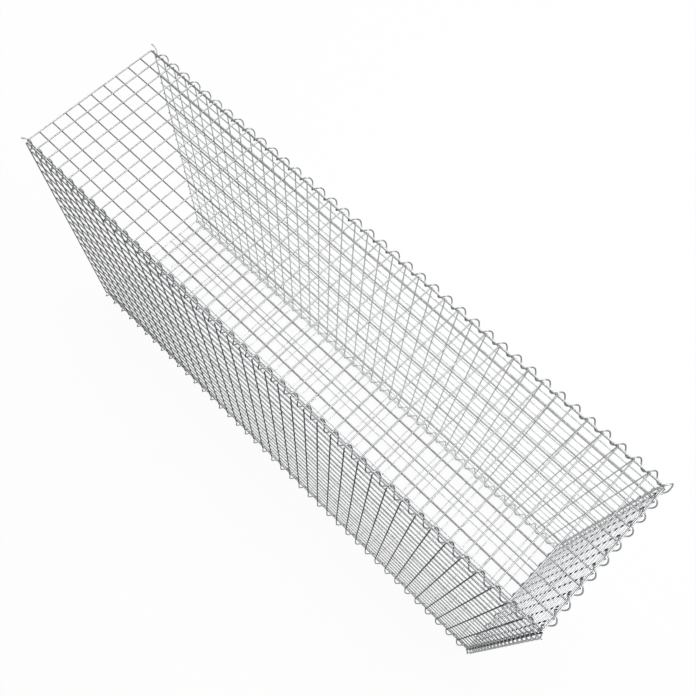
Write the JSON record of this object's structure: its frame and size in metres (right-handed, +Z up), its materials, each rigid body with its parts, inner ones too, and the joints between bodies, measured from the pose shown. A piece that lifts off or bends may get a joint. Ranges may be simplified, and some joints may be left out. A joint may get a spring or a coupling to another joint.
{
  "type": "gabion basket",
  "caption": "Empty welded wire mesh basket for a stone-filled wall, open at one end and laced along its edges with spiral wire coils.",
  "frame": {"origin": "middle of the underside of the whole basket, on the ground", "axes": "+X along the wall towards the closed end, +Y across the wall towards the back, +Z up"},
  "size_m": [2.0284, 0.5294, 1.0294],
  "materials": {
    "mesh_wire": "galvanised, dull",
    "coil_wire": "galvanised, dull"
  },
  "bodies": {
    "root": {"front_mesh_1": "mesh_wire", "front_mesh_2": "mesh_wire", "front_mesh_3": "mesh_wire", "front_mesh_4": "mesh_wire", "back_mesh_1": "mesh_wire", "back_mesh_2": "mesh_wire", "back_mesh_3": "mesh_wire", "back_mesh_4": "mesh_wire", "top_mesh_1": "mesh_wire", "top_mesh_2": "mesh_wire", "bottom_mesh_1": "mesh_wire", "bottom_mesh_2": "mesh_wire", "end_mesh": "mesh_wire", "top_front_coil": "coil_wire", "top_back_coil": "coil_wire", "bottom_front_coil": "coil_wire", "bottom_back_coil": "coil_wire", "top_end_coil": "coil_wire", "bottom_end_coil": "coil_wire", "front_end_coil": "coil_wire", "back_end_coil": "coil_wire"}
  },
  "joints": []
}
